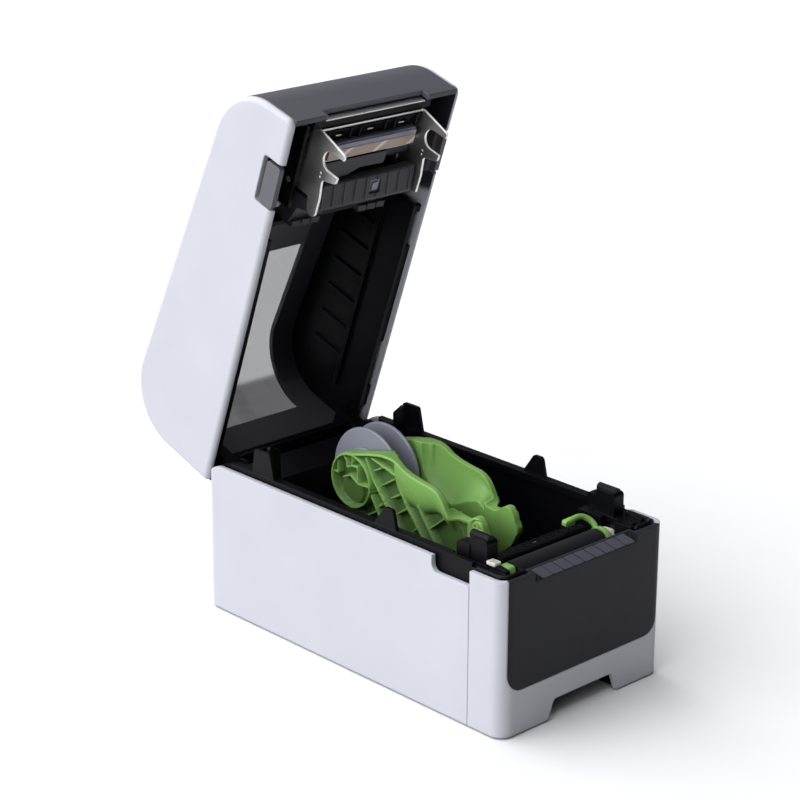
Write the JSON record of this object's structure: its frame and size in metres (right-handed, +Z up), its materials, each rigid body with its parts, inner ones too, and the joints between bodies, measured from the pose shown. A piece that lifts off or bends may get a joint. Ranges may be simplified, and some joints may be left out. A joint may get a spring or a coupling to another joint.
{
  "type": "receipt and label printer",
  "caption": "Desktop receipt and label printer with a hinged clamshell cover held open over green roll guides, a rubber platen roller and a sprung thermal print head.",
  "frame": {"origin": "on the table, under the middle of the base, in the plane of the four feet", "axes": "+X to the right seen from the front, +Y towards the back, +Z up; the cover is stored open"},
  "size_m": [0.108, 0.2582, 0.2665],
  "materials": {
    "white_shell": "fine moulded texture, pale cool white",
    "charcoal_cover": "fine moulded texture, dark grey",
    "dark_face": "fine moulded texture, near black",
    "black_frame": "semi-gloss black moulding",
    "smoked_window": "smoked clear plastic",
    "green_lever": "satin green moulding",
    "grey_disc": "satin grey moulding",
    "rubber_black": "ground rubber",
    "steel": "stamped steel sheet",
    "alloy": "extruded plate",
    "ceramic": "glazed ceramic with a brown heater area",
    "gear_white": "natural acetal",
    "board_green": "solder-masked board",
    "motor_steel": "dark plated can",
    "tab_grey": "satin dark grey",
    "sensor_grey": "tinted lens"
  },
  "bodies": {
    "base": {"base_cover": "white_shell", "front_bezel": "white_shell", "front_panel": "dark_face", "inner_frame": "black_frame", "front_cradle": "black_frame", "rear_shelf": "black_frame", "bottom_plate": "black_frame", "rubber_feet": "rubber_black", "base_screws": "steel", "paper_guide": "black_frame", "gap_sensor": "sensor_grey", "drive_motor": "motor_steel", "main_board": "board_green", "dc_inlet": "black_frame", "usb_port": "steel", "idler_axle": "steel", "platen_bearings": "gear_white", "hinge_pin_right": "steel", "hinge_pin_left": "steel"},
    "platen": {"platen_shaft": "steel", "platen_sleeve": "rubber_black", "platen_gear": "gear_white"},
    "idler": {"idler_gear": "gear_white"},
    "pinion": {"motor_pinion": "steel"},
    "lock_right": {"platen_lock_right": "green_lever"},
    "lock_left": {"platen_lock_left": "green_lever"},
    "guide_left": {"guide_arm_left": "green_lever", "guide_rack_left": "black_frame"},
    "guide_right": {"guide_arm_right": "green_lever", "guide_rack_right": "black_frame"},
    "guide_gear": {"guide_pinion": "gear_white"},
    "disc_left": {"spool_disc_left": "grey_disc"},
    "disc_right": {"spool_disc_right": "grey_disc"},
    "cover": {"cover_side_right": "white_shell", "cover_side_left": "white_shell", "cover_band": "charcoal_cover", "cover_window": "smoked_window", "cover_liner": "black_frame", "head_carrier": "black_frame", "label_ramp": "black_frame", "media_sensor": "sensor_grey", "carrier_screws": "steel", "tear_blade": "steel", "head_pivots": "steel", "head_spring": "steel", "status_light": "sensor_grey", "button_board": "board_green"},
    "head": {"head_bracket": "steel", "head_guard": "black_frame", "ribbon_bar": "black_frame", "guard_tabs": "steel", "thermal_head": "ceramic", "head_sink": "alloy"},
    "release": {"release_shaft": "steel", "release_lever_right": "tab_grey", "release_lever_left": "tab_grey"},
    "power_key": {"power_button": "tab_grey"},
    "feed_key": {"feed_button": "tab_grey"}
  },
  "joints": [
    {"name": "cover_hinge", "type": "hinge", "parent": "base", "child": "cover", "pos_m": [0, 0.095, 0.0709], "axis": [-1, 0, 0], "range_deg": [-70.7, 0]},
    {"name": "platen_spin", "type": "hinge", "parent": "base", "child": "platen", "pos_m": [0, -0.083, 0.0682], "axis": [1, 0, 0], "continuous": true},
    {"name": "idler_spin", "type": "hinge", "parent": "base", "child": "idler", "pos_m": [0, -0.08453, 0.05067], "axis": [1, 0, 0], "continuous": true},
    {"name": "pinion_spin", "type": "hinge", "parent": "base", "child": "pinion", "pos_m": [0, -0.08019, 0.03444], "axis": [1, 0, 0], "continuous": true},
    {"name": "lock_right_turn", "type": "hinge", "parent": "base", "child": "lock_right", "pos_m": [0, -0.083, 0.0682], "axis": [1, 0, 0], "range_deg": [0, 60]},
    {"name": "lock_left_turn", "type": "hinge", "parent": "base", "child": "lock_left", "pos_m": [0, -0.083, 0.0682], "axis": [1, 0, 0], "range_deg": [0, 12]},
    {"name": "guide_left_slide", "type": "slide", "parent": "base", "child": "guide_left", "axis": [-1, 0, 0], "range_m": [0, 0.02]},
    {"name": "guide_right_slide", "type": "slide", "parent": "base", "child": "guide_right", "axis": [1, 0, 0], "range_m": [0, 0.02]},
    {"name": "guide_gear_turn", "type": "hinge", "parent": "base", "child": "guide_gear", "pos_m": [0, -0.005, 0.0072], "axis": [0, 0, -1], "range_deg": [0, 143.3]},
    {"name": "disc_left_spin", "type": "hinge", "parent": "guide_left", "child": "disc_left", "pos_m": [0, 0.037, 0.0762], "axis": [1, 0, 0], "continuous": true},
    {"name": "disc_right_spin", "type": "hinge", "parent": "guide_right", "child": "disc_right", "pos_m": [0, 0.037, 0.0762], "axis": [1, 0, 0], "continuous": true},
    {"name": "head_tilt", "type": "hinge", "parent": "cover", "child": "head", "pos_m": [0, 0.05875, 0.22614], "axis": [-1, 0, 0], "range_deg": [0, 1.2], "stiffness_Nm_per_rad": 1.5, "springref_deg": -5.73},
    {"name": "release_turn", "type": "hinge", "parent": "cover", "child": "release", "pos_m": [0, 0.07369, 0.21072], "axis": [-1, 0, 0], "range_deg": [0, 4], "stiffness_Nm_per_rad": 0.5, "springref_deg": -5.73},
    {"name": "power_press", "type": "slide", "parent": "cover", "child": "power_key", "axis": [0, -0.9016, -0.4327], "range_m": [0, 0.0008], "stiffness_N_per_m": 600, "springref_m": -0.001},
    {"name": "feed_press", "type": "slide", "parent": "cover", "child": "feed_key", "axis": [0, -0.9016, -0.4327], "range_m": [0, 0.0008], "stiffness_N_per_m": 600, "springref_m": -0.001}
  ],
  "couplings": [
    {"joint": "idler_spin", "follows": "platen_spin", "ratio": -0.46667},
    {"joint": "pinion_spin", "follows": "platen_spin", "ratio": 1.1667},
    {"joint": "guide_right_slide", "follows": "guide_left_slide", "ratio": 1},
    {"joint": "guide_gear_turn", "follows": "guide_left_slide", "rad_per_m": 125}
  ]
}
